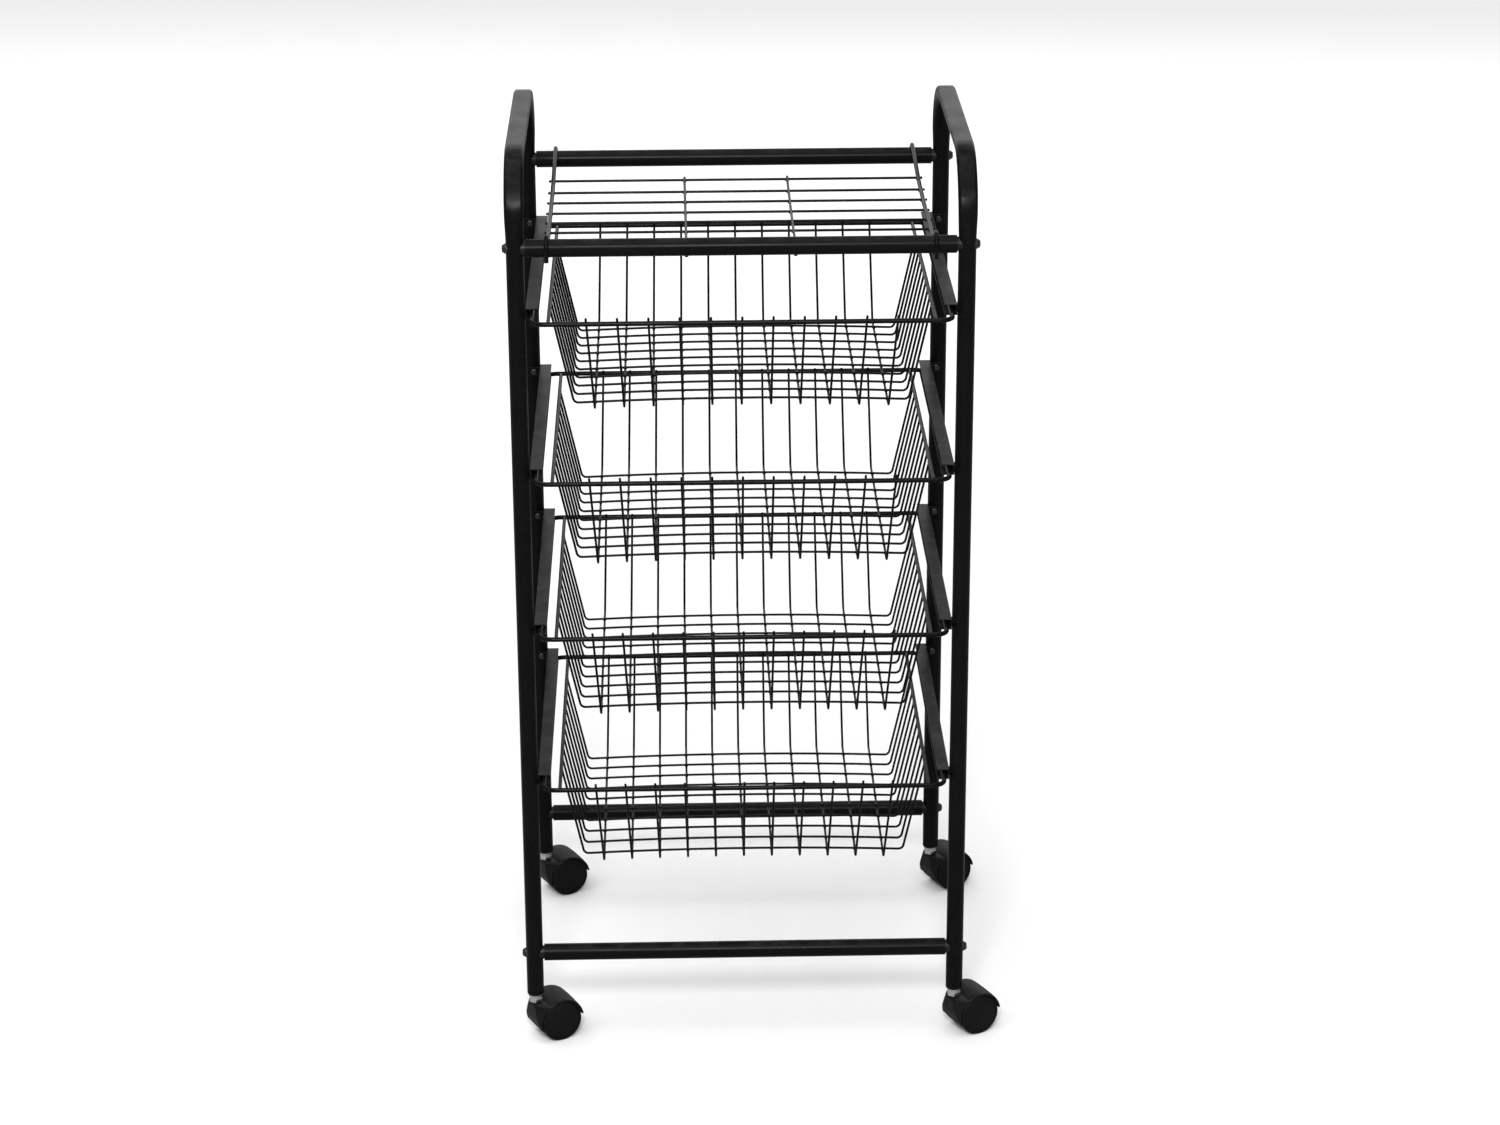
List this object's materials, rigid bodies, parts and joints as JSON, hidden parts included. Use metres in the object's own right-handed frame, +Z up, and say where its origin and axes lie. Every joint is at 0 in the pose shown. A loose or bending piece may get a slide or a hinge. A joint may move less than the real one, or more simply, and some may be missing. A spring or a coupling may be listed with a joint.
{
  "type": "wire shelf cart",
  "caption": "Narrow black wheeled cart with a bent-tube frame, sliding wire baskets on channel runners, a lift-off wire top shelf and twin-wheel swivel casters.",
  "frame": {"origin": "on the floor under the middle of the four legs", "axes": "+X to the right, +Y to the back, +Z up; the baskets pull out towards -Y"},
  "size_m": [0.4575, 0.3779, 0.864],
  "materials": {
    "tube_coat": "semi-gloss black powder coat with a fine speckle",
    "runner_coat": "semi-gloss black coat on folded sheet",
    "rim_coat": "semi-gloss black coat on wire",
    "wire_coat": "semi-gloss black coat on thin wire",
    "shelf_coat": "gloss black coat on wire",
    "bolt_black": "black dome-head bolt",
    "screw_steel": "dull zinc-plated screw",
    "plug_plastic": "black moulded plug",
    "zinc": "bright zinc-plated steel",
    "hood_plastic": "black moulded plastic, satin",
    "axle_steel": "plain steel pin",
    "wheel_plastic": "black moulded wheel, satin"
  },
  "bodies": {
    "frame": {"side_frame_left": "tube_coat", "side_frame_right": "tube_coat", "cross_tube_top_front": "tube_coat", "cross_tube_top_rear": "tube_coat", "cross_tube_bottom_front": "tube_coat", "cross_tube_bottom_rear": "tube_coat", "cross_tube_end_plugs": "plug_plastic", "cross_tube_bolts": "bolt_black", "runner_1_left": "runner_coat", "runner_1_right": "runner_coat", "runner_2_left": "runner_coat", "runner_2_right": "runner_coat", "runner_3_left": "runner_coat", "runner_3_right": "runner_coat", "runner_4_left": "runner_coat", "runner_4_right": "runner_coat", "runner_screws": "screw_steel", "leg_end_inserts": "plug_plastic", "caster_front_left_stem": "zinc", "caster_front_right_stem": "zinc", "caster_rear_left_stem": "zinc", "caster_rear_right_stem": "zinc"},
    "basket_1": {"basket_1_rim": "rim_coat", "basket_1_side_rails": "wire_coat", "basket_1_cross_wires": "wire_coat", "basket_1_long_wires": "wire_coat"},
    "basket_2": {"basket_2_rim": "rim_coat", "basket_2_side_rails": "wire_coat", "basket_2_cross_wires": "wire_coat", "basket_2_long_wires": "wire_coat"},
    "basket_3": {"basket_3_rim": "rim_coat", "basket_3_side_rails": "wire_coat", "basket_3_cross_wires": "wire_coat", "basket_3_long_wires": "wire_coat"},
    "basket_4": {"basket_4_rim": "rim_coat", "basket_4_side_rails": "wire_coat", "basket_4_cross_wires": "wire_coat", "basket_4_long_wires": "wire_coat"},
    "top_shelf": {"shelf_side_wires": "shelf_coat", "shelf_cross_bars": "shelf_coat", "shelf_middle_wires": "shelf_coat"},
    "caster_front_left": {"caster_front_left_hood": "hood_plastic", "caster_front_left_axle": "axle_steel"},
    "wheel_front_left_near": {"caster_front_left_wheel_near": "wheel_plastic"},
    "wheel_front_left_far": {"caster_front_left_wheel_far": "wheel_plastic"},
    "caster_front_right": {"caster_front_right_hood": "hood_plastic", "caster_front_right_axle": "axle_steel"},
    "wheel_front_right_near": {"caster_front_right_wheel_near": "wheel_plastic"},
    "wheel_front_right_far": {"caster_front_right_wheel_far": "wheel_plastic"},
    "caster_rear_left": {"caster_rear_left_hood": "hood_plastic", "caster_rear_left_axle": "axle_steel"},
    "wheel_rear_left_near": {"caster_rear_left_wheel_near": "wheel_plastic"},
    "wheel_rear_left_far": {"caster_rear_left_wheel_far": "wheel_plastic"},
    "caster_rear_right": {"caster_rear_right_hood": "hood_plastic", "caster_rear_right_axle": "axle_steel"},
    "wheel_rear_right_near": {"caster_rear_right_wheel_near": "wheel_plastic"},
    "wheel_rear_right_far": {"caster_rear_right_wheel_far": "wheel_plastic"}
  },
  "joints": [
    {"name": "basket_1_slide", "type": "slide", "parent": "frame", "child": "basket_1", "axis": [0, -1, 0], "range_m": [0, 0.25]},
    {"name": "basket_2_slide", "type": "slide", "parent": "frame", "child": "basket_2", "axis": [0, -1, 0], "range_m": [0, 0.25]},
    {"name": "basket_3_slide", "type": "slide", "parent": "frame", "child": "basket_3", "axis": [0, -1, 0], "range_m": [0, 0.25]},
    {"name": "basket_4_slide", "type": "slide", "parent": "frame", "child": "basket_4", "axis": [0, -1, 0], "range_m": [0, 0.25]},
    {"name": "top_shelf_lift", "type": "slide", "parent": "frame", "child": "top_shelf", "axis": [0, 0, 1], "range_m": [0, 0.06]},
    {"name": "caster_front_left_swivel", "type": "hinge", "parent": "frame", "child": "caster_front_left", "pos_m": [-0.2, -0.157, 0.0436], "axis": [0, 0, 1], "continuous": true},
    {"name": "wheel_front_left_near_spin", "type": "hinge", "parent": "caster_front_left", "child": "wheel_front_left_near", "pos_m": [-0.18263, -0.14815, 0.02], "axis": [-0.454, 0.891, 0], "continuous": true},
    {"name": "wheel_front_left_far_spin", "type": "hinge", "parent": "caster_front_left", "child": "wheel_front_left_far", "pos_m": [-0.18263, -0.14815, 0.02], "axis": [-0.454, 0.891, 0], "continuous": true},
    {"name": "caster_front_right_swivel", "type": "hinge", "parent": "frame", "child": "caster_front_right", "pos_m": [0.2, -0.157, 0.0436], "axis": [0, 0, 1], "continuous": true},
    {"name": "wheel_front_right_near_spin", "type": "hinge", "parent": "caster_front_right", "child": "wheel_front_right_near", "pos_m": [0.21738, -0.14815, 0.02], "axis": [-0.454, 0.891, 0], "continuous": true},
    {"name": "wheel_front_right_far_spin", "type": "hinge", "parent": "caster_front_right", "child": "wheel_front_right_far", "pos_m": [0.21738, -0.14815, 0.02], "axis": [-0.454, 0.891, 0], "continuous": true},
    {"name": "caster_rear_left_swivel", "type": "hinge", "parent": "frame", "child": "caster_rear_left", "pos_m": [-0.2, 0.157, 0.0436], "axis": [0, 0, 1], "continuous": true},
    {"name": "wheel_rear_left_near_spin", "type": "hinge", "parent": "caster_rear_left", "child": "wheel_rear_left_near", "pos_m": [-0.18263, 0.16585, 0.02], "axis": [-0.454, 0.891, 0], "continuous": true},
    {"name": "wheel_rear_left_far_spin", "type": "hinge", "parent": "caster_rear_left", "child": "wheel_rear_left_far", "pos_m": [-0.18263, 0.16585, 0.02], "axis": [-0.454, 0.891, 0], "continuous": true},
    {"name": "caster_rear_right_swivel", "type": "hinge", "parent": "frame", "child": "caster_rear_right", "pos_m": [0.2, 0.157, 0.0436], "axis": [0, 0, 1], "continuous": true},
    {"name": "wheel_rear_right_near_spin", "type": "hinge", "parent": "caster_rear_right", "child": "wheel_rear_right_near", "pos_m": [0.21738, 0.16585, 0.02], "axis": [-0.454, 0.891, 0], "continuous": true},
    {"name": "wheel_rear_right_far_spin", "type": "hinge", "parent": "caster_rear_right", "child": "wheel_rear_right_far", "pos_m": [0.21738, 0.16585, 0.02], "axis": [-0.454, 0.891, 0], "continuous": true}
  ]
}
